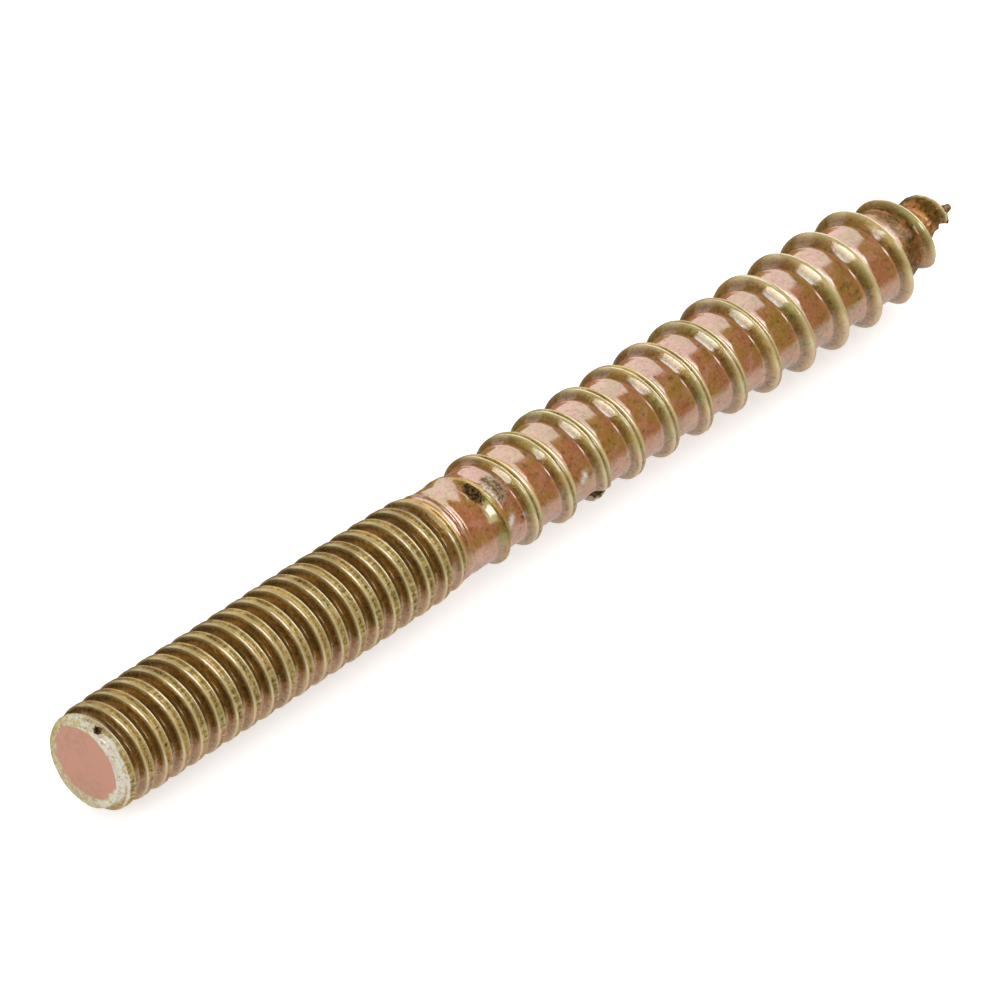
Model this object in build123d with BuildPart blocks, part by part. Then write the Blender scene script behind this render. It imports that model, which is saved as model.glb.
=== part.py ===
"""Toilet mounting screw: a 1/4-20 by 2-1/2 in. hanger screw that holds a closet bowl to a wooden floor.

It is one rolled steel rod. One end takes a nut on a machine thread, the other is driven into the wood
by a coarse, right-handed wood thread that runs out to a gimlet point.

The origin is the centre of the flat end face. +X runs along the screw to its point, and +Z is up as the
screw lies on its side. The machine thread is fine, so its stretch is left plain at its crest diameter.
"""
import os
from math import atan2, ceil, cos, degrees, radians, tan

from build123d import *

# Lengths along the axis, in millimetres.
total_length = 64.0
machine_length = 24.2  # flat end face to the machine thread's last full crest
run_out_length = 1.7  # from that crest down to the plain shank
shank_length = 1.2
root_step_length = 0.6  # from the shank down to the wood thread's root
shoulder_length = 2.0  # first, shallow cone of the gimlet point
cone_length = 4.4  # second, steep cone of the gimlet point

# Diameters.
machine_diameter = 5.85  # over the rolled crests of the 1/4-20 thread
shank_diameter = 5.04
root_diameter = 4.84  # of the wood thread
cone_diameter = 3.94  # where the point's two cones meet
tip_diameter = 0.24

# Flat end.
end_face_diameter = 4.6
end_edge_length = 1.0  # of the rounded edge round the flat face
end_edge_bulge = 0.16  # how far that edge stands out from a straight chamfer

# Ridge of the wood thread.
wood_pitch = 2.54  # 10 turns to the inch
flank_angle = 38.0  # of each flank, from square to the axis
ridge_base = 1.20  # width of the ridge at the root
ridge_land = 0.12  # least width of its crest
ridge_foot = 0.85  # share of the root's radius at which the ridge starts, inside the body
ridge_end_angle = 239.9  # of its two ends about the axis, from +Y towards +Z

# The ridge rises out of the shank over about a turn, to its first full crest.
ridge_rise = 2.5
first_crest_diameter = 5.66
hidden_crest_diameter = 4.6  # where it starts, inside the shank

# Then its crest follows the blank, which fills the rolling dies better towards the point, and falls
# away with the point. Each crest diameter has its distance back from the tip.
point_crests = [
    (19.0, 5.90),
    (13.5, 6.20),
    (9.0, 6.20),
    (5.6, 5.86),
    (3.0, 4.26),
    (1.9, 3.24),
    (0.4, 0.50),
]

# Places on the axis that follow from the lengths.
shank_start = machine_length + run_out_length
shank_end = shank_start + shank_length
root_start = shank_end + root_step_length
cone_start = total_length - cone_length
shoulder_start = cone_start - shoulder_length

# The two outlines of the wood thread, as (x, radius).
root_line = [
    (root_start, root_diameter / 2),
    (shoulder_start, root_diameter / 2),
    (cone_start, cone_diameter / 2),
    (total_length, tip_diameter / 2),
]
crest_line = [
    (root_start - ridge_rise, hidden_crest_diameter / 2),
    (root_start, first_crest_diameter / 2),
] + [(total_length - back, diameter / 2) for back, diameter in point_crests]


def radius_at(line, x):
    """Radius at x on an outline of straight stretches, level before its start and after its end."""
    for (start, start_radius), (end, end_radius) in zip(line, line[1:]):
        if x <= end:
            share = max((x - start) / (end - start), 0)
            return start_radius + (end_radius - start_radius) * share
    return line[-1][1]


def ridge_corners(middle):
    """The ridge's four corners about a crest's middle, as (x, radius), from the end face's side."""
    crest = radius_at(crest_line, middle)
    root = radius_at(root_line, middle)
    lean = tan(radians(flank_angle))
    base = min(ridge_base, root)
    land = max(base - 2 * (crest - root) * lean, ridge_land)
    foot = land + 2 * (crest - ridge_foot * root) * lean
    feet = [(x, ridge_foot * radius_at(root_line, x)) for x in (middle - foot / 2, middle + foot / 2)]
    crests = [(x, radius_at(crest_line, x)) for x in (middle - land / 2, middle + land / 2)]
    return [feet[0], crests[0], crests[1], feet[1]]


def one_turn(start, end):
    """One turn of a helix about the X axis, from one (x, radius) to another."""
    (start_x, start_radius), (end_x, end_radius) = start, end
    rise = end_x - start_x
    cone = round(degrees(atan2(end_radius - start_radius, rise)), 9)
    return Edge.make_helix(rise / cos(radians(cone)), rise, start_radius, (start_x, 0, 0), (1, 0, 0), cone)


def wood_ridge():
    """The ridge of the wood thread as a closed solid, each turn with its land, its flanks and its foot."""
    first, last = crest_line[0][0], crest_line[-1][0]
    turns = ceil((last - first) / wood_pitch)
    stations = [ridge_corners(last - turn * wood_pitch) for turn in range(turns, -1, -1)]
    faces = []
    for station, next_station in zip(stations, stations[1:]):
        edges = [one_turn(*ends) for ends in zip(station, next_station)]
        faces += [Face.make_surface_from_curves(a, b) for a, b in zip(edges, edges[1:] + edges[:1])]
    for station in (stations[0], stations[-1]):
        faces.append(Face(Wire.make_polygon([(x, 0, radius) for x, radius in station])))
    return Solid(Shell(faces)).rotate(Axis.X, ridge_end_angle - 90)


with BuildPart() as mounting_screw:
    # The body is turned about the axis: flat end, machine thread's stretch, shank, root and point.
    with BuildSketch(Plane.XZ):
        with BuildLine():
            face_corner = (0, end_face_diameter / 2)
            edge_end = (end_edge_length, machine_diameter / 2)
            SagittaArc(face_corner, edge_end, end_edge_bulge)
            Polyline(
                edge_end,
                (machine_length, machine_diameter / 2),
                (shank_start, shank_diameter / 2),
                (shank_end, shank_diameter / 2),
                *root_line,
                (total_length, 0),
                (0, 0),
                face_corner,
            )
        make_face()
    revolve(axis=Axis.X)
    add(wood_ridge())

mounting_screw.part.label = "mounting_screw"
os.makedirs("parts", exist_ok=True)
export_step(mounting_screw.part, "parts/mounting_screw.step")
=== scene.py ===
"""Toilet mounting screw: the rolled threads and the yellow zinc finish, made around the CAD screw.

Lengths on the screw are in millimetres until a mesh is made, and the stage round it is in metres. The screw
lies along X, from its flat end to its point. The near side of a ridge faces the flat end, and its far side
the point. An angle about the axis is given in turns, from +Y towards +Z.
"""
import math
from types import SimpleNamespace

import bpy
import numpy as np
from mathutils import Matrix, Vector, noise


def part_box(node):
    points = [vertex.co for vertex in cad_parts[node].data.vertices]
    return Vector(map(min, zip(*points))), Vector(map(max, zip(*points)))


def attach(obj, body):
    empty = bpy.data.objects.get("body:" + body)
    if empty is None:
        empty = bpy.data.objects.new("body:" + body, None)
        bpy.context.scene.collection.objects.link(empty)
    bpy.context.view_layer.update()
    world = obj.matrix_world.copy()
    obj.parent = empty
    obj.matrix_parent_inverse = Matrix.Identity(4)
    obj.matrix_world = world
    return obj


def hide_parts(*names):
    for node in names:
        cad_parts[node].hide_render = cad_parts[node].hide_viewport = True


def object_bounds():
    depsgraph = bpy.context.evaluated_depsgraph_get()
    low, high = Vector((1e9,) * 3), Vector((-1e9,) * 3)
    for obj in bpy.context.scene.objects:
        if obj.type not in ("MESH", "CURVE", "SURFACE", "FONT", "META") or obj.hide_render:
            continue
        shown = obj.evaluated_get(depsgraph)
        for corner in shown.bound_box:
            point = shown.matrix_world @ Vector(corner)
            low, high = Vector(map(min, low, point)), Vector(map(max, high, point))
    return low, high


MM = 0.001
SCREW = "mounting_screw"

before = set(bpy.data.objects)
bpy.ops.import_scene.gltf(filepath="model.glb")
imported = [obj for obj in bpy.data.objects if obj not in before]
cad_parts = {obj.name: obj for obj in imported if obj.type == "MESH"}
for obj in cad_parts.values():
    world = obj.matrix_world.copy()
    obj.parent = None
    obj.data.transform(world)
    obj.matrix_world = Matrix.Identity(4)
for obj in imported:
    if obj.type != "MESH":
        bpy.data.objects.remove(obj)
cad_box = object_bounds()
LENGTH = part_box(SCREW)[1].x / MM
FULL_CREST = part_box(SCREW)[1].z / MM  # the wood thread's largest radius
HIGHEST = FULL_CREST - 0.01  # as far out as the crests reach, just inside the solid

# Threads. A crest passes TOP_TURN, on the screw's upper left, at its start, and again at each pitch.
TOP_TURN = 41.5 / 360
MACHINE_PITCH = 1.27
MACHINE_START = 1.45
WOOD_PITCH = 2.54
WOOD_START = 29.23
WOOD_TURNS_IN = 21  # turns of the machine thread before that crest
PITCH_CHANGE = (18.6, 20.6)  # turns over which one pitch gives way to the other, on the shank
FORM_CHANGE = (25.0, 28.0)  # where the machine thread's form gives way to the wood thread's
FINISH_CHANGE = (23.8, 24.8)  # where the machine thread's finish ends
SMOOTH_RIDGE = (26.0, 26.8, 28.6, 29.4)  # the first ridge's stretch without lips, with its two ends

# Outlines, as (x, radius) or (x, width).
CRESTS = [
    (0.0, 2.78), (1.0, 2.85), (3.0, 2.92), (14.0, 2.92), (20.0, 2.89), (23.4, 2.87), (24.2, 2.82),
    (24.8, 2.72), (25.3, 2.61), (25.8, 2.54), (26.4, 2.52), (27.0, 2.62), (27.4, 2.75), (28.0, 2.82),
    (29.0, 2.84), (33.0, 2.87), (40.0, 2.89), (45.0, 2.93), (48.0, 3.00), (50.5, HIGHEST),
    (54.0, HIGHEST), (56.5, 3.06), (58.4, 2.94), (59.6, 2.52), (61.0, 2.06), (62.0, 1.66),
    (62.6, 1.36), (62.9, 1.02), (63.2, 0.58), (63.6, 0.34), (LENGTH, 0.22),
]
ROOTS = [
    (0.0, 2.37), (23.6, 2.37), (24.2, 2.40), (25.0, 2.50), (26.3, 2.52), (27.3, 2.49), (28.0, 2.42),
    (57.4, 2.42), (58.6, 2.24), (59.6, 1.97), (60.4, 1.60), (61.9, 0.86), (62.4, 0.60), (63.2, 0.38),
    (LENGTH, 0.17),
]
LEANS = [  # how far a ridge stands towards the point from its place
    (0.0, 0.0), (26.3, 0.0), (27.1, 0.24), (27.9, 0.28), (29.2, -0.05), (LENGTH, -0.06),
]
LANDS = [  # half the crest's width
    (0.0, 0.23), (24.0, 0.23), (26.4, 0.12), (28.4, 0.12), (29.4, 0.25), (40.0, 0.24), (48.0, 0.15),
    (52.0, 0.08), (LENGTH, 0.05),
]
CROWNS = [  # how far the crest's far edge lies below its middle
    (0.0, 0.06), (25.0, 0.06), (28.0, 0.10), (42.0, 0.09), (50.0, 0.03), (LENGTH, 0.03),
]
NEAR_FLANKS = [  # width of a near flank along the axis
    (0.0, 0.28), (24.0, 0.28), (26.4, 0.8), (27.0, 0.60), (27.7, 0.50), (28.6, 0.40), (44.0, 0.40),
    (51.0, 0.52), (60.0, 0.52), (61.0, 1.2), (62.3, 1.2), (62.6, 0.5), (LENGTH, 0.4),
]
FAR_FLANKS = [  # and of a far flank
    (0.0, 0.24), (24.0, 0.24), (27.0, 0.60), (28.4, 0.45), (29.4, 0.31), (42.0, 0.31), (50.0, 0.40),
    (60.0, 0.42), (LENGTH, 0.20),
]
FOLDS = [  # how deep the fold in the crest is
    (0.0, 0.10), (24.0, 0.10), (26.0, 0.0), (28.6, 0.0), (29.4, 0.09), (40.0, 0.08), (47.0, 0.05),
    (51.0, 0.0), (LENGTH, 0.0),
]
FOLD_WIDTHS = [(0.0, 0.13), (24.0, 0.13), (27.0, 0.07), (LENGTH, 0.05)]  # half its width
FOLD_LEANS = [(0.0, -0.03), (24.0, -0.03), (28.0, -0.07), (LENGTH, -0.03)]  # from the crest's middle
FOLD_FLOOR = 0.3  # share of that width that is flat

# The machine thread's near flank is steep up to the bevel of its lip, as (share of the flank, of the height).
BEVEL = [(0.0, 0.0), (0.68, 0.81), (1.0, 1.0)]

# Unevenness of the surface, as (height, size of its bumps, seed).
ROOT_WAVES = (0.012, 1.6, 3)
CREST_WAVES = (0.022, 4.0, 7)
FOLD_WAVES = (0.5, 0.9, 11)  # as a share of the fold's depth
EDGE_WAVES = (0.03, 1.3, 17)  # of the flat end's rounded edge
SALMON_WAVES = (0.09, 0.9, 23)  # of the salmon patch's outline
ROUGH_WAVES = (1.0, 0.35, 29)  # of torn and worn metal
NOISE_GAIN = 1.6  # brings Blender's noise to about -1 to 1
CREST_WEAR = 0.015  # how far the crests are worn below their outline
LIPS_WIDEN = (44, 52)  # where the crests' near lips grow wider towards the point

# Mesh.
COLUMNS = 96  # in a turn
FIRST_TURN, LAST_TURN = -2, 37  # of the spiral, which starts before the flat end and ends past the tip
NEAR_STEPS = (-0.15, 0.0, 0.15, 0.42, 0.66, 0.76, 0.88, 1.0)  # foot to crest's edge, as shares of a flank
FAR_STEPS = (-0.2, 0.1, 0.5, 0.85, 1.0)
ROOT_STEPS = (0.2, 0.4, 0.6, 0.8)  # from a far foot to the next turn's near foot
LEAST_ROOT = 0.10  # least width of the root between two flanks
FOOT_ROUND, EDGE_ROUND = 0.15, 0.08  # how far the roundings at both ends of a flank reach, as shares of it
LAND_STEPS = (-0.84, -0.6, -0.4, -0.2, 0.0, 0.3, 0.6, 0.84)  # shares of half the crest
JOIN = 1.3  # where the rings of the flat end meet the spiral of the threads
END_RINGS, END_CROWDING = 30, 1.6  # they lie closer together towards the flat face
FACE_RINGS = (0.97, 0.94, 0.91, 0.88, 0.85, 0.82, 0.79, 0.76, 0.73, 0.70, 0.5, 0.25)  # shares of its radius
TIP_RINGS = (0.5,)

# What the mesh says of each of its points. All but away go from 0 to 1.
MARKS = (
    "ridge",  # flanks and crests of both threads
    "foot",  # a dark band low on the near flanks: painted shade
    "step",  # a bright copper line where the wood thread's root turns up into them: a painted highlight
    "lip",  # the crests' pale, worn edges, paler on one side and on a patch of the first ridge: partly painted highlights
    "fold",  # the fold in the crests
    "away",  # distance from the crest's middle, for the rolling marks
    "groove",  # machine thread below its crests
    "shade",  # painted shade: black brown on its near flanks, except where they face the floor
    "land",  # its crests
    "sheltered",  # its crests on one side, painted darker: painted shade
    "rusty",  # the wood thread's near flanks on that side, painted browner: painted shade
    "below",  # the side that faces the floor, where the film has a painted reflection of the floor
    "chamfer",  # zinc on the flat end's rounded edge and round its salmon patch
    "dull",  # where that zinc has kept its film
    "face",  # the salmon patch
    "scab",  # crust in the torn and chipped places
    "worn",  # bronze of the worn point
    "scuff",  # the rough patch by the first ridge
    "bare",  # scratches down to the zinc, painted bright: partly painted glints
)


def line(stations, x):
    """Value at x on an outline of straight stretches."""
    return np.interp(x, *zip(*stations))


def ease(share):
    """Smooth step from 0 to 1."""
    share = np.clip(share, 0, 1)
    return share * share * (3 - 2 * share)


def rise(value, low, high):
    """0 below low and 1 above high, with a smooth rise between."""
    return ease((value - low) / (high - low))


def hump(value, middle, width):
    """1 in the middle, falling away smoothly on both sides."""
    return np.exp(-(((value - middle) / width) ** 2))


def facing(turn, side):
    """1 on the side of the screw that is meant, 0 a quarter of a turn from it and -1 opposite."""
    return np.cos((turn - side) * 2 * math.pi)


def crest_places(turns):
    """Where on the axis the crest lies after so many turns, through both threads."""
    machine = MACHINE_START + MACHINE_PITCH * (turns - TOP_TURN)
    wood = WOOD_START + WOOD_PITCH * (turns - TOP_TURN - WOOD_TURNS_IN)
    return machine + (wood - machine) * rise(turns, *PITCH_CHANGE)


# The threads' places and pitches are looked up in these, with 200 steps in a turn.
ALL_TURNS = np.linspace(-4, 42, 46 * 200 + 1)
ALL_PLACES = crest_places(ALL_TURNS)
ALL_PITCHES = np.gradient(ALL_PLACES, ALL_TURNS)


def pitch_at(x):
    """The thread's pitch at x."""
    return np.interp(x, ALL_PLACES, ALL_PITCHES)


def flank_at(widths, x):
    """A flank's width at x, with room for its rounded foot before the next turn of the thread."""
    room = pitch_at(x) / 2 - line(LANDS, x) - LEAST_ROOT / 2
    return np.minimum(line(widths, x), room / (1 + FOOT_ROUND))


def from_crest(x, turn):
    """Distance along the axis from the middle of the nearest crest, positive towards the point."""
    turns = np.interp(x, ALL_PLACES, ALL_TURNS) - turn - line(LEANS, x) / pitch_at(x)
    return (turns - np.round(turns)) * pitch_at(x)


def from_place(x, turn, at_x, at_turn, half_length, half_width):
    """How far a point is from a place, along the axis and round it, as shares of the place's half-sizes."""
    around = turn - at_turn
    return (x - at_x) / half_length, (around - np.round(around)) / half_width


def oval(x, turn, place):
    """1 in the middle of an oval patch on the surface and 0 past its edge."""
    return np.clip(1 - np.hypot(*from_place(x, turn, *place)), 0, 1)


def block(x, turn, place):
    """1 on a squarish patch with a soft edge and 0 past it."""
    along, across = from_place(x, turn, *place)
    return ease((1 - np.maximum(abs(along), abs(across))) * 4)


def waves(x, turn, height, size, seed):
    """Smooth noise on the surface, about so far up and down, with bumps of a size."""
    angle = turn * 2 * math.pi
    radius = FULL_CREST / size
    points = zip(x / size, radius * np.cos(angle), radius * np.sin(angle))
    values = np.array([noise.noise(Vector(p) + Vector((seed, seed, seed))) for p in points])
    return height * (values * NOISE_GAIN)


# ---- The screw's shape ----

END_EDGE = [  # the rounded edge of the flat end, as (x, radius)
    (0.0, 2.27), (0.02, 2.33), (0.07, 2.42), (0.16, 2.52), (0.30, 2.63), (0.5, 2.74), (0.8, 2.86),
    (1.1, 2.95), (JOIN, 3.0), (2.0, 4.0),
]
END_SHIFT, END_TURN = 0.06, -20 / 360  # how far off the axis the flat face is, and which way
SALMON_RADIUS, SALMON_SHIFT, SALMON_TURN = 2.05, 0.32, 106 / 360  # the same for its salmon patch

# Damage. A place is (x, turn, half its length, half its width in turns).
SCAB, SCAB_DEPTH = (27.15, 110 / 360, 0.50, 0.060), 0.05  # where the wood thread's first ridge is torn
SCUFF = (28.45, 119 / 360, 0.75, 0.075)  # the rough patch beside it
CHIP, CHIP_DEPTH = (35.3, 216 / 360, 0.66, 0.054), 0.30  # a chipped crest
PIT, PIT_DEPTH = (29.35, 170 / 360, 0.20, 0.016), 0.05
NICK, NICK_DEPTH = (0.30, 105 / 360, 0.24, 0.022), 0.06  # in the rounded edge of the flat end
BURR, BURR_HEIGHT = (63.35, 221 / 360, 0.30, 0.16), 0.24  # at the tip
# Scratches down to the zinc, painted bright: partly painted glints.
SCRATCHES = [(28.53, 165 / 360, 0.36, 0.026), (33.91, 168 / 360, 0.34, 0.026)]
SCRATCH_SLANT = 0.06  # turns in a millimetre
HIGHLIGHT_PATCH = (27.28, 140 / 360, 0.28, 0.040)  # a painted highlight: a squarish cream patch on the wood thread's first ridge
WORN_ROOT = (58.0, 58.7)  # where the root is worn down to bronze, towards the point
WORN_LAG = 2.4  # how much later the ridge is
ROUGHNESS = 0.035  # height of the roughness of worn and scuffed metal

# Sides of the screw, as turns about its axis.
HIGHLIGHT_SIDE = 138 / 360  # its crests' lips are palest: painted highlights
DARK_SIDE = 60 / 360  # its crests are painted darker: painted shade
FLOOR_SIDE = 240 / 360  # it faces the floor
DULL_SIDE = 330 / 360  # the flat end's rounded edge has kept its film


def bend(up, reach):
    """0 below zero and straight up above it, rounded as far as reach on both sides."""
    return np.clip(up + reach, 0, 2 * reach) ** 2 / (4 * reach) + np.clip(up - reach, 0, None)


def end_edge(x, turn):
    """Radius of the flat end's rounded edge, which lies a little off the axis and is uneven."""
    lean = END_SHIFT * facing(turn, END_TURN) * ease(1 - x / JOIN)
    return line(END_EDGE, x) + lean + waves(x, turn, *EDGE_WAVES) * ease(1.2 - x / JOIN)


def lips(x, turn, offset, height):
    """1 on the pale, worn lips along both edges of a crest and 0 off them.

    The far lip is a line on the machine thread, and the whole slope past the crest on the wood thread. Both
    are paler towards one side of the screw, and a squarish patch on the first ridge joins them: painted
    highlights.
    """
    land = line(LANDS, x)
    wood = rise(x, *FORM_CHANGE)
    # the lips are paler towards one side: painted highlights
    to_highlight_side = facing(turn, HIGHLIGHT_SIDE)
    middle = -0.92 * land - 0.06 * (1 - wood)
    width = 0.05 + 0.05 * wood + 0.04 * rise(x, *LIPS_WIDEN)
    near_lip = hump(offset, middle, width) * (0.35 + 0.65 * rise(to_highlight_side, -0.05, 0.35))
    far_edge = 0.8 * hump(offset, 0.82 * land, 0.09)
    far_slope = rise(offset, -0.02, 0.03) * (1 - rise(offset - land, 0.28, 0.36))
    far_lip = (far_edge + (far_slope - far_edge) * wood) * (0.25 + 0.75 * rise(to_highlight_side, 0.68, 0.90))
    start, smooth, smooth_end, end = SMOOTH_RIDGE
    ridge = rise(height, 0, 0.25) * (1 - rise(x, start, smooth) * (1 - rise(x, smooth_end, end)))
    return np.maximum(np.maximum(near_lip, far_lip) * ridge, 0.9 * block(x, turn, HIGHLIGHT_PATCH))


def damage(x, turn, height):
    """What the damage adds to the radius, and its marks."""
    rough = waves(x, turn, *ROUGH_WAVES)
    scab = np.clip(oval(x, turn, SCAB) * (1 + 0.5 * rough), 0, 1)
    scuff = ease(oval(x, turn, SCUFF) * 2.5)
    chip, pit, nick, burr = (oval(x, turn, place) for place in (CHIP, PIT, NICK, BURR))
    scratches = [oval(x, turn + SCRATCH_SLANT * (x - place[0]), place) for place in SCRATCHES]
    worn = rise(x - WORN_LAG * ease(height / 0.3), *WORN_ROOT)
    added = BURR_HEIGHT * burr - SCAB_DEPTH * ease(scab * 1.6) - CHIP_DEPTH * ease(chip * 1.5)
    added -= PIT_DEPTH * ease(pit * 2) + NICK_DEPTH * ease(nick * 2)
    added += ROUGHNESS * np.maximum(worn, scuff) * rough * rise(LENGTH - x, 0.4, 1.2)
    marks = {
        "scab": np.maximum.reduce([scab, chip, pit * 0.6, nick, burr]),
        "worn": worn,
        "scuff": scuff,
        "bare": ease(np.maximum.reduce(scratches) * 1.3),
    }
    return added, marks


def surface(x, turn):
    """The surface's radius, and the marks that its finish follows, at points on the screw."""
    offset = from_crest(x, turn)
    near_side = offset < 0
    land = line(LANDS, x)
    flank = np.where(near_side, flank_at(NEAR_FLANKS, x), flank_at(FAR_FLANKS, x))
    up = 1 + (land - abs(offset)) / flank  # 0 at the foot, 1 at the crest's edge
    wood = rise(x, *FORM_CHANGE)
    share = bend(up, FOOT_ROUND) - bend(up - 1, EDGE_ROUND)
    share += (line(BEVEL, share) - share) * near_side * (1 - wood)

    root = line(ROOTS, x) + waves(x, turn, *ROOT_WAVES)
    crest = np.minimum(line(CRESTS, x) + waves(x, turn, *CREST_WAVES) - CREST_WEAR, HIGHEST)
    crest -= line(CROWNS, x) * np.clip(offset / land, 0, 1) ** 2
    height = (crest - root) * share
    from_fold = abs(offset - line(FOLD_LEANS, x)) / line(FOLD_WIDTHS, x)
    fold = np.clip(1 + FOLD_FLOOR - from_fold, 0, 1)
    ragged = np.clip(0.8 + waves(x, turn, *FOLD_WAVES), 0, 1.4)
    radius = root + height - line(FOLDS, x) * fold * ragged

    edge = end_edge(x, turn)
    chamfer = rise(radius - edge, 0, 0.1)
    added, damage_marks = damage(x, turn, height)
    radius = np.minimum(radius, edge) + added

    machine = 1 - rise(x, *FINISH_CHANGE)
    # the side of the screw where the crests are painted darker: painted shade
    sheltered = rise(facing(turn, DARK_SIDE), 0.68, 0.88)
    below = rise(facing(turn, FLOOR_SIDE), 0.40, 0.65)
    deep = rise(crest - root, 0, 0.5) * near_side
    # Painted light among these marks: the dark foot band, the shade and the darker crests and flanks of one
    # side are painted shade; the step line and the lips' paler side are painted highlights; the pink of the
    # floor side is a painted reflection.
    marks = {
        "ridge": rise(height, 0, 0.22),
        "lip": lips(x, turn, offset, height),
        "fold": fold * rise(line(FOLDS, x), 0, 0.03),
        "groove": (1 - rise(up, 0.72, 0.82)) * machine,
        "shade": near_side * rise(up, 0, 0.5) * (1 - rise(up, 0.72, 0.80)) * machine * (1 - below),
        "land": rise(up, 0.9, 1.0) * machine * (1 - 0.9 * sheltered),
        "sheltered": rise(up, 0.5, 0.7) * machine * sheltered,
        "rusty": near_side * rise(up, 0, 0.3) * (1 - rise(up, 0.80, 0.95)) * (1 - machine) * sheltered,
        "below": below * rise(x, 1.0, 1.6),
        "foot": deep * hump(up, 0.26, 0.22),
        "step": deep * hump(up, -0.03, 0.10) * wood,
        "away": abs(offset),
        "chamfer": np.maximum(chamfer, 1 - rise(x, 0.25, 0.45)),
        "dull": rise(facing(turn, DULL_SIDE), -0.35, 0.65),
    }
    return radius, marks | damage_marks


def ridge_rows(turns):
    """Places of the rows that climb from the near foot of a turn over its crest to its far foot."""
    crests = crest_places(turns)
    land = line(LANDS, crests)
    rows = [-land - (1 - step) * flank_at(NEAR_FLANKS, crests) for step in NEAR_STEPS]
    rows += [step * land for step in LAND_STEPS]
    rows += [land + (1 - step) * flank_at(FAR_FLANKS, crests) for step in FAR_STEPS[::-1]]
    rows = np.array(rows) + line(LEANS, crests)
    return crest_places(turns + rows / pitch_at(crests))


def thread_grid():
    """Places and turns of the spiral's points, one row of a column after the other, with their faces."""
    columns = np.arange(FIRST_TURN * COLUMNS, LAST_TURN * COLUMNS + 1)
    turns = columns / COLUMNS
    rows = ridge_rows(turns)
    far_foot, next_foot = rows[-1], ridge_rows(turns + 1)[0]
    root = [far_foot + (next_foot - far_foot) * step for step in ROOT_STEPS]
    places = np.vstack([rows, root]).T
    around = np.repeat((columns % COLUMNS) / COLUMNS, places.shape[1]).reshape(places.shape)

    spot = np.arange(places.size).reshape(places.shape)
    here, there = spot[: -COLUMNS - 1], spot[1:-COLUMNS]
    above_here = np.hstack([here[:, 1:], spot[COLUMNS:-1, :1]])
    above_there = np.hstack([there[:, 1:], spot[COLUMNS + 1 :, :1]])
    faces = np.stack([here, there, above_there, above_here], axis=-1).reshape(-1, 4)
    return np.clip(places, JOIN, LENGTH).ravel(), around.ravel(), faces


def ring_grid(places):
    """The same for rings at some places, from the first to the last."""
    across, around = np.meshgrid(places, np.arange(COLUMNS) / COLUMNS, indexing="ij")
    spot = np.arange(across.size).reshape(across.shape)
    here, there = spot[:-1], np.roll(spot[:-1], -1, axis=1)
    above_here, above_there = spot[1:], np.roll(spot[1:], -1, axis=1)
    faces = np.stack([here, there, above_there, above_here], axis=-1).reshape(-1, 4)
    return across.ravel(), around.ravel(), faces


def cap(rim, shares):
    """Points and faces that close a ring of points with smaller rings and a middle point."""
    centre = rim.mean(axis=0)
    rings = [centre + (rim - centre) * share for share in shares]
    points = np.vstack([rim, *rings, centre])
    count = len(rim)
    faces = []
    for start in range(0, len(shares) * count, count):
        for column in range(count):
            here, beside = start + column, start + (column + 1) % count
            faces.append((here, here + count, beside + count, beside))
    last = len(shares) * count
    faces += [(last + c, len(points) - 1, last + (c + 1) % count) for c in range(count)]
    return points, faces


def weld(points, faces):
    """Joins points that lie together and drops the faces that this closes up."""
    _, first, same = np.unique(np.round(points, 6), axis=0, return_index=True, return_inverse=True)
    same = same.ravel()
    kept = []
    for face in faces:
        corners = []
        for corner in face:
            if same[corner] not in corners:
                corners.append(same[corner])
        if len(corners) > 2:
            kept.append(corners)
    return first, kept


def salmon(points):
    """1 on the salmon patch of the flat face and 0 outside it, for points on the face."""
    turn = np.arctan2(points[:, 2], points[:, 1]) / (2 * math.pi)
    edge = SALMON_RADIUS + SALMON_SHIFT * facing(turn, SALMON_TURN)
    edge += waves(np.zeros(len(points)), turn, *SALMON_WAVES)
    return rise(edge - np.hypot(points[:, 1], points[:, 2]), -0.11, 0.11)


def surface_patch(places, around, faces):
    """Points, faces and marks of a grid on the screw's surface."""
    radius, marks = surface(places, around)
    angle = around * 2 * math.pi
    points = np.stack([places, radius * np.cos(angle), radius * np.sin(angle)], axis=-1)
    return points, faces.tolist(), marks


def flat_face(rim, dull):
    """The same for the flat end's face: its salmon patch, and the zinc between that and its rim."""
    points, faces = cap(rim, FACE_RINGS)
    patch = salmon(points)
    return points, faces, {"face": patch, "chamfer": 1 - patch, "dull": np.resize(dull, len(points))}


def tip_cap():
    """The same for the tip."""
    rim, _, _ = surface_patch(*ring_grid([LENGTH]))
    points, faces = cap(rim, TIP_RINGS)
    return points, [face[::-1] for face in faces], {}


def make_screw():
    """The screw as one closed mesh: rounded edge, spiral of both threads, flat face, tip."""
    edge = surface_patch(*ring_grid(JOIN * np.linspace(0, 1, END_RINGS) ** END_CROWDING))
    edge_points, _, edge_marks = edge
    face = flat_face(edge_points[:COLUMNS], edge_marks["dull"][:COLUMNS])
    patches = [edge, surface_patch(*thread_grid()), face, tip_cap()]

    faces, start = [], 0
    for patch_points, patch_faces, _ in patches:
        faces += [[corner + start for corner in face] for face in patch_faces]
        start += len(patch_points)
    points = np.vstack([patch_points for patch_points, _, _ in patches])
    first, faces = weld(points, faces)
    mesh = bpy.data.meshes.new("hanger_screw")
    mesh.from_pydata((points[first] * MM).tolist(), [], faces)
    mesh.validate()
    for name in MARKS:
        values = [marks.get(name, np.zeros(len(patch_points))) for patch_points, _, marks in patches]
        attribute = mesh.attributes.new(name, "FLOAT", "POINT")
        attribute.data.foreach_set("value", np.concatenate(values)[first])
    mesh.shade_smooth()
    screw = bpy.data.objects.new("hanger_screw", mesh)
    bpy.context.scene.collection.objects.link(screw)
    return screw


# ---- Finishes ----


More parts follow.
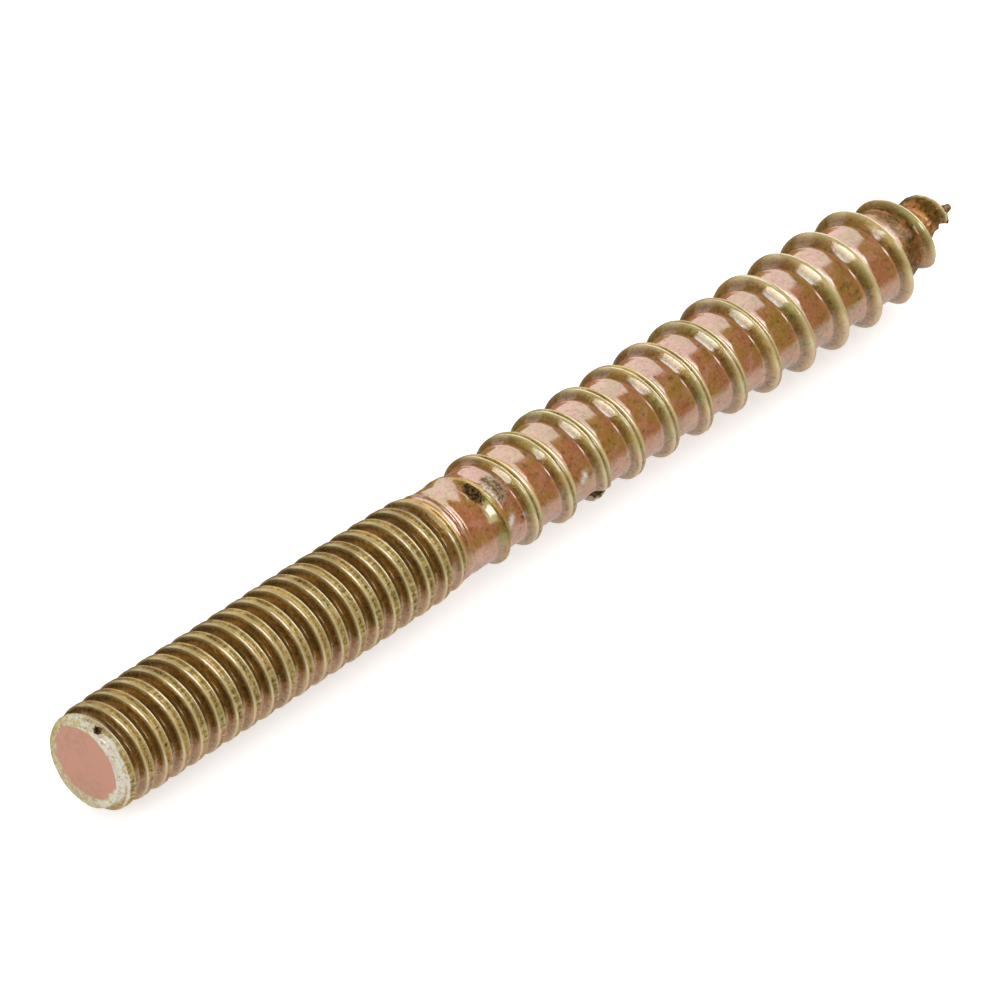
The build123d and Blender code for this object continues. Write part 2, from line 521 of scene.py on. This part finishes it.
class Term:
    """A socket of the finish being made. Arithmetic on it adds Math nodes."""

    def __init__(self, finish, socket):
        self.finish, self.socket = finish, socket

    def math(self, operation, *others):
        return self.finish.node("ShaderNodeMath", {"operation": operation}, dict(enumerate((self, *others))))

    def __add__(self, other):
        return self.math("ADD", other)

    def __sub__(self, other):
        return self.math("SUBTRACT", other)

    def __rsub__(self, other):
        return (self * -1) + other

    def __mul__(self, other):
        return self.math("MULTIPLY", other)

    __radd__, __rmul__ = __add__, __mul__

    def most(self, other):
        """The larger of two."""
        return self.math("MAXIMUM", other)

    def rise(self, low, high):
        """0 up to low and 1 past high, with a smooth rise between. Low may be the larger number."""
        settings = {"interpolation_type": "SMOOTHSTEP"}
        return self.finish.node("ShaderNodeMapRange", settings, {0: self, 1: low, 2: high})


class Finish:
    """The nodes of a material or a world that is being made."""

    def __init__(self, owner):
        owner.use_nodes = True
        self.owner, self.tree = owner, owner.node_tree
        self.tree.nodes.clear()

    def node(self, kind, settings=None, inputs=None, output=0):
        """Adds a node: its settings first, then the values and links of its sockets."""
        made = self.tree.nodes.new(kind)
        for name, value in (settings or {}).items():
            setattr(made, name, value)
        for name, value in (inputs or {}).items():
            if isinstance(value, Term):
                self.tree.links.new(made.inputs[name], value.socket)
            else:
                made.inputs[name].default_value = value
        return Term(self, made.outputs[output]) if made.outputs else None

    def mix(self, share, first, second):
        """A colour between two."""
        inputs = {0: share, 6: first, 7: second}
        return self.node("ShaderNodeMix", {"data_type": "RGBA"}, inputs, output=2)

    def mark(self, name):
        """A mark that the mesh carries."""
        return self.node("ShaderNodeAttribute", {"attribute_name": name}, output=2)

    def noise(self, place, scale, detail, roughness=0.5):
        """Noise at a place, about 0.3 to 0.7."""
        inputs = {"Vector": place, "Scale": scale, "Detail": detail, "Roughness": roughness}
        return self.node("ShaderNodeTexNoise", inputs=inputs)

    def grain(self, size, detail=2.0, roughness=0.5, seed=0.0):
        """Noise with a grain of a size in millimetres."""
        where = self.node("ShaderNodeTexCoord", output="Object")
        shift = {0: where, 1: (seed, seed, seed)}
        place = self.node("ShaderNodeVectorMath", {"operation": "ADD"}, shift)
        return self.noise(place, 1 / (size * MM), detail, roughness)

    def ticks(self, size, length):
        """The same, drawn out along the screw's axis so many times."""
        where = self.node("ShaderNodeTexCoord", output="Object")
        squeeze = {0: where, 1: (1 / length, 1, 1)}
        place = self.node("ShaderNodeVectorMath", {"operation": "MULTIPLY"}, squeeze)
        return self.noise(place, 1 / (size * MM), 2.0)

    def end(self, kind, shader):
        """Ends the tree with this shader and gives back its material or world."""
        self.node(kind, inputs={"Surface": shader})
        return self.owner


def colour(red, green, blue):
    """A colour as seen on a screen, from 0 to 1, for a node's socket."""
    linear = [c / 12.92 if c < 0.04045 else ((c + 0.055) / 1.055) ** 2.4 for c in (red, green, blue)]
    return (*linear, 1.0)


# The film on the ridges and in the roots.
OLIVE = colour(0.76, 0.59, 0.26)
GOLD = colour(0.88, 0.70, 0.33)
SEA_GREEN = colour(0.72, 0.68, 0.36)
BROWN = colour(0.74, 0.54, 0.20)
COPPER = colour(0.80, 0.50, 0.30)
PINK_COPPER = colour(0.90, 0.62, 0.50)
# painted highlight of the step line
COPPER_HIGHLIGHT = colour(0.98, 0.70, 0.48)
GROOVE_BROWN = colour(0.80, 0.60, 0.28)
DARK_OLIVE = colour(0.74, 0.60, 0.32)
# painted reflection of the floor
FLOOR_REFLECTION_PINK = colour(0.84, 0.66, 0.57)

# Where it is rubbed, worn or gone, with the browns of painted shade and the pale colours of painted
# highlights.
CREAM = colour(0.98, 0.90, 0.66)
WORN_OLIVE = colour(0.76, 0.65, 0.39)
SHADED_FLANK_BROWN = colour(0.70, 0.49, 0.31)
DARK_BROWN = colour(0.38, 0.25, 0.07)
BLACK_BROWN = colour(0.16, 0.10, 0.04)
SCALE_BROWN = colour(0.42, 0.32, 0.20)
STEEL_TAN = colour(0.70, 0.62, 0.50)
BRONZE = colour(0.60, 0.44, 0.20)
ORANGE_BRONZE = colour(0.88, 0.58, 0.28)
BARE_ZINC_GLINT = colour(1.0, 0.98, 0.94)

# The flat end: its face, and its rounded edge.
SALMON = colour(0.77, 0.58, 0.49)
DUSKY_SALMON = colour(0.72, 0.54, 0.46)
ROSE = colour(0.80, 0.56, 0.50)
ZINC = colour(0.89, 0.87, 0.79)
PALE_OLIVE = colour(0.80, 0.74, 0.48)
PALE_PINK = colour(0.90, 0.80, 0.75)
TAN = colour(0.72, 0.60, 0.42)

ROLLED_LENGTH, ROLLED_WIDTH = 2.5, 0.07  # of the rolling marks along the thread


def rolling_marks(finish, away):
    """Fine noise drawn out along the thread, as it follows the distance from its crest."""
    where = finish.node("ShaderNodeTexCoord", output="Object")
    scale = {0: where, "Scale": 1 / (ROLLED_LENGTH * MM)}
    level = finish.node("ShaderNodeVectorMath", {"operation": "SCALE"}, scale)
    across = finish.node("ShaderNodeCombineXYZ", inputs={0: away * (1 / ROLLED_WIDTH)})
    place = finish.node("ShaderNodeVectorMath", {"operation": "ADD"}, {0: level, 1: across})
    return finish.noise(place, 1.0, 2.0)


def thread_film(finish, on, grain):
    """The film's colour over the roots, the flanks and the crests of both threads, with painted shade on the
    near flanks and on one side, and a painted reflection of the floor.
    """
    root = finish.mix(grain.blush * 0.5, finish.mix(grain.cloud, COPPER, BROWN), PINK_COPPER)
    crest = finish.mix(grain.cloud, OLIVE, finish.mix(grain.drift, GOLD, SEA_GREEN))
    film = finish.mix(on.ridge, root, finish.mix(grain.blush * 0.35, crest, COPPER))
    # painted shade: dark brown low on the near flanks, deeper in deeper grooves
    film = finish.mix(on.foot * 0.85, film, DARK_BROWN)
    film = finish.mix(on.groove, film, finish.mix(grain.cloud * 0.4, GROOVE_BROWN, DARK_BROWN))
    dark_crest = finish.mix(grain.cloud * 0.5, DARK_OLIVE, DARK_BROWN)
    # painted shade: the machine thread's crests darker on one side
    film = finish.mix(on.sheltered * 0.9, film, dark_crest)
    # painted shade: black brown on the machine thread's near flanks
    film = finish.mix(on.shade * 0.65, film, BLACK_BROWN)
    film = finish.mix(on.land * 0.8, film, finish.mix(grain.blush * 0.3, WORN_OLIVE, COPPER))
    # painted shade: the wood thread's near flanks browner on that side
    film = finish.mix(on.rusty * 0.6, film, finish.mix(grain.cloud * 0.6, SHADED_FLANK_BROWN, OLIVE))
    # painted reflection of the floor: dusky pink on the side that faces it
    return finish.mix(on.below * (0.1 + on.ridge.most(on.groove) * 0.4), film, FLOOR_REFLECTION_PINK)


def worn_film(finish, on, grain, film, crushed):
    """The film as rolling, rubbing and driving have left it: crushed, worn off, scuffed, specked, with
    painted highlights on the step lines and the lips.
    """
    film = finish.mix(crushed * grain.ticks.rise(0.50, 0.60) * 0.6, film, DARK_BROWN)
    film = finish.mix(crushed * grain.ticks.rise(0.46, 0.38) * 0.4, film, CREAM)
    bronze = finish.mix(grain.cloud, BRONZE, DARK_BROWN)
    film = finish.mix(on.worn * 0.85, film, finish.mix(grain.blush * 0.7, bronze, ORANGE_BRONZE))
    scuffed = finish.mix(grain.speck.rise(0.42, 0.62), STEEL_TAN, SCALE_BROWN)
    film = finish.mix(on.scuff * 0.85, film, scuffed)
    film = finish.mix(grain.mottle.rise(0.50, 0.74) * 0.55, film, BLACK_BROWN)
    specks = grain.speck.rise(0.50, 0.66) * (0.22 + on.fold * 0.5 + on.worn * 0.3)
    film = finish.mix(specks, film, BLACK_BROWN)
    # painted highlight: a bright copper line at the foot of the wood thread's near flanks
    film = finish.mix(on.step * 0.45, film, COPPER_HIGHLIGHT)
    # pale worn lips, partly painted highlights
    film = finish.mix(on.lip * (0.9 - grain.cloud * 0.2) * (1 - on.below * 0.4), film, CREAM)
    return finish.mix(grain.speck.rise(0.48, 0.30) * 0.16, film, CREAM)


def end_film(finish, on, grain):
    """Colour of the flat end's rounded edge: bare zinc, with some film kept on one side."""
    tinted = finish.mix(grain.cloud, PALE_OLIVE, PALE_PINK)
    edge = finish.mix(grain.mottle.rise(0.45, 0.60) * 0.9, ZINC, tinted)
    kept = finish.mix(grain.mottle.rise(0.42, 0.60), PALE_OLIVE, TAN)
    return finish.mix(grain.speck.rise(0.50, 0.66) * 0.45, finish.mix(on.dull, edge, kept), SCALE_BROWN)


def yellow_zinc():
    """Steel with a yellow zinc chromate film: olive gold on the ridges, copper brown in the roots."""
    finish = Finish(bpy.data.materials.new("yellow_zinc_chromate"))
    on = SimpleNamespace(**{name: finish.mark(name) for name in MARKS})
    grain = SimpleNamespace(
        drift=finish.grain(4.0, detail=1.0, seed=0.013).rise(0.40, 0.60),
        cloud=finish.grain(1.5, detail=3.0, seed=0.031).rise(0.38, 0.62),
        blush=finish.grain(1.0, seed=0.071).rise(0.50, 0.66),
        mottle=finish.grain(0.35, detail=4.0, roughness=0.6, seed=0.083),
        speck=finish.grain(0.16, detail=3.0, roughness=0.65, seed=0.047),
        fine=finish.grain(0.08, seed=0.059),
        ticks=finish.ticks(0.17, length=6),
        rolled=rolling_marks(finish, on.away),
    )
    crushed = on.land * (1 - on.below * 0.7) * (0.25 + grain.drift * 0.75)
    # the film carries painted shade, painted highlights and a painted reflection of the floor
    film = worn_film(finish, on, grain, thread_film(finish, on, grain), crushed)
    film = finish.mix(on.chamfer, film, end_film(finish, on, grain))
    # bright zinc scratches, partly painted glints
    film = finish.mix(on.bare, film, BARE_ZINC_GLINT)
    dusky = finish.mix(grain.cloud, DUSKY_SALMON, ROSE)
    film = finish.mix(on.face, film, finish.mix(grain.mottle.rise(0.35, 0.65) * 0.7, SALMON, dusky))
    crust = (on.scab + (grain.speck - 0.5) * 0.9).rise(0.22, 0.36)
    film = finish.mix(crust, film, finish.mix(grain.speck.rise(0.42, 0.60), BLACK_BROWN, SCALE_BROWN))

    matte = on.face.most(crust)
    off_lip = 1 - on.lip
    coarse = 1.2 + on.fold * 0.8 + on.chamfer * 0.4 + on.worn * 1.6 + crust * 2
    height = grain.speck * coarse + grain.fine * 0.35 + grain.rolled * 0.35
    height = height + grain.mottle * 3.4 + grain.ticks * crushed * off_lip * 2.0
    bump = finish.node("ShaderNodeBump", inputs={"Strength": 0.6, "Distance": 0.03 * MM, "Height": height})
    coat = (1 - on.ridge * off_lip * 0.7) * (1 - on.groove * 0.45) * (1 - on.shade * 0.9)
    coat = coat * (1 - on.land.most(on.sheltered) * off_lip * 0.85)
    coat = coat * (1 - on.worn * 0.92) * (1 - on.scuff * 0.5)
    metal = (on.ridge.most(on.worn) * 0.84).most(on.groove) * (1 - on.lip.most(on.land * 0.7) * 0.8)
    inputs = {
        "Base Color": film,
        "Metallic": (1 - matte) * (1 - on.chamfer.most(on.bare) * 0.9) * (0.18 + metal * 0.62),
        "Roughness": 0.32 + grain.cloud * 0.1 + matte * 0.3,
        "Specular IOR Level": 0.0,
        "Normal": bump,
        "Coat Weight": (1 - matte * 0.9) * (1 - grain.speck.rise(0.5, 0.7) * 0.3) * coat,
        "Coat Roughness": 0.12,
        "Coat IOR": 3.0,
    }
    return finish.end("ShaderNodeOutputMaterial", finish.node("ShaderNodeBsdfPrincipled", inputs=inputs))


# ---- Stage, light and camera ----

# The camera: what it is aimed at, which way it looks and how far down, in degrees, and from how far.
AIM = Vector((29.88, -0.257, 0.110)) * MM
HEADING, LOOKING_DOWN = 43.4, 37.76
DISTANCE = 0.943
LENS, SENSOR = 668.8, 36.0  # in millimetres

# Soft panels round the screw: heading and elevation in degrees, distance, width, height, brightness.
SCREW_MIDDLE = Vector((LENGTH / 2 * MM, 0, 0))
PANELS = {
    "back": (30, 27, 0.90, 2.0, 1.00, 1.25),
    "left": (186, 28, 0.90, 0.50, 0.30, 3.6),
    "front": (250, 29, 0.90, 0.36, 0.34, 2.6),
    "right": (-6, 18, 0.90, 0.56, 0.56, 1.7),
    "beyond": (118, 15, 0.90, 0.55, 0.40, 0.6),
}
ROOM = 0.6  # brightness of the rest of the studio
ROOM_IN_METAL, FLOOR_IN_METAL = 0.04, 0.62  # what the metal mirrors of the room, and of the floor below
FLOOR_GLOW = 0.5  # what the floor adds where it is seen, so that it looks white
FLOOR_HALF = 1.0  # half its side


def make_floor(height):
    """A pale floor that the screw lies on. It looks white and takes a soft shadow."""
    signs = ((-1, -1), (1, -1), (1, 1), (-1, 1))
    corners = [(x * FLOOR_HALF, y * FLOOR_HALF, height) for x, y in signs]
    mesh = bpy.data.meshes.new("floor")
    mesh.from_pydata(corners, [], [(0, 1, 2, 3)])
    finish = Finish(bpy.data.materials.new("pale_floor"))
    seen = finish.node("ShaderNodeLightPath", output="Is Camera Ray")
    matte = finish.node("ShaderNodeBsdfDiffuse", inputs={"Color": colour(0.97, 0.97, 0.97)})
    glow = finish.node("ShaderNodeEmission", inputs={"Strength": seen * FLOOR_GLOW})
    both = finish.node("ShaderNodeAddShader", inputs={0: matte, 1: glow})
    mesh.materials.append(finish.end("ShaderNodeOutputMaterial", both))
    floor = bpy.data.objects.new("floor", mesh)
    floor.visible_glossy = False
    bpy.context.scene.collection.objects.link(floor)


def make_world():
    """A soft, even studio: white where it is seen straight, and darker in the metal."""
    studio = Finish(bpy.data.worlds.new("studio"))
    way = studio.node("ShaderNodeTexCoord", output="Generated")
    up = studio.node("ShaderNodeSeparateXYZ", inputs={0: way}, output="Z")
    mirrored = (up * -1).rise(0.30, 0.62) * (FLOOR_IN_METAL - ROOM_IN_METAL) + ROOM_IN_METAL
    seen = studio.node("ShaderNodeLightPath", output="Is Camera Ray")
    in_metal = studio.node("ShaderNodeLightPath", output="Is Glossy Ray")
    strength = seen + in_metal * mirrored + (1 - seen) * (1 - in_metal) * ROOM
    light = studio.node("ShaderNodeBackground", inputs={"Color": (1, 1, 1, 1), "Strength": strength})
    bpy.context.scene.world = studio.end("ShaderNodeOutputWorld", light)


def aim(thing, place, target):
    """Puts a lamp or the camera at a place, turned to a target."""
    thing.location = place
    thing.rotation_euler = (target - place).to_track_quat("-Z", "Y").to_euler()
    bpy.context.scene.collection.objects.link(thing)


def towards(heading, elevation):
    """Direction of a heading from +X and an elevation, in degrees."""
    heading, elevation = math.radians(heading), math.radians(elevation)
    level = math.cos(elevation)
    return Vector((math.cos(heading) * level, math.sin(heading) * level, math.sin(elevation)))


def make_panels():
    """The large soft panels that light the screw."""
    for name, (heading, elevation, distance, width, height, brightness) in PANELS.items():
        lamp = bpy.data.lights.new(name, "AREA")
        lamp.shape, lamp.size, lamp.size_y = "RECTANGLE", width, height
        lamp.energy = brightness * math.pi * width * height
        place = SCREW_MIDDLE + towards(heading, elevation) * distance
        aim(bpy.data.objects.new(name, lamp), place, SCREW_MIDDLE)


def make_camera():
    """A long lens, looking down on the screw from beyond its flat end."""
    lens = bpy.data.cameras.new("camera")
    lens.lens, lens.sensor_width = LENS, SENSOR
    lens.clip_start, lens.clip_end = 0.05, 10.0
    sight = towards(HEADING, -LOOKING_DOWN)
    camera = bpy.data.objects.new("camera", lens)
    aim(camera, AIM - sight * DISTANCE, AIM)
    bpy.context.scene.camera = camera


screw = make_screw()
screw.data.materials.append(yellow_zinc())
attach(screw, "root")
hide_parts(SCREW)

make_floor(cad_box[0].z)
make_world()
make_panels()
make_camera()
bpy.context.scene.view_settings.view_transform = "Standard"
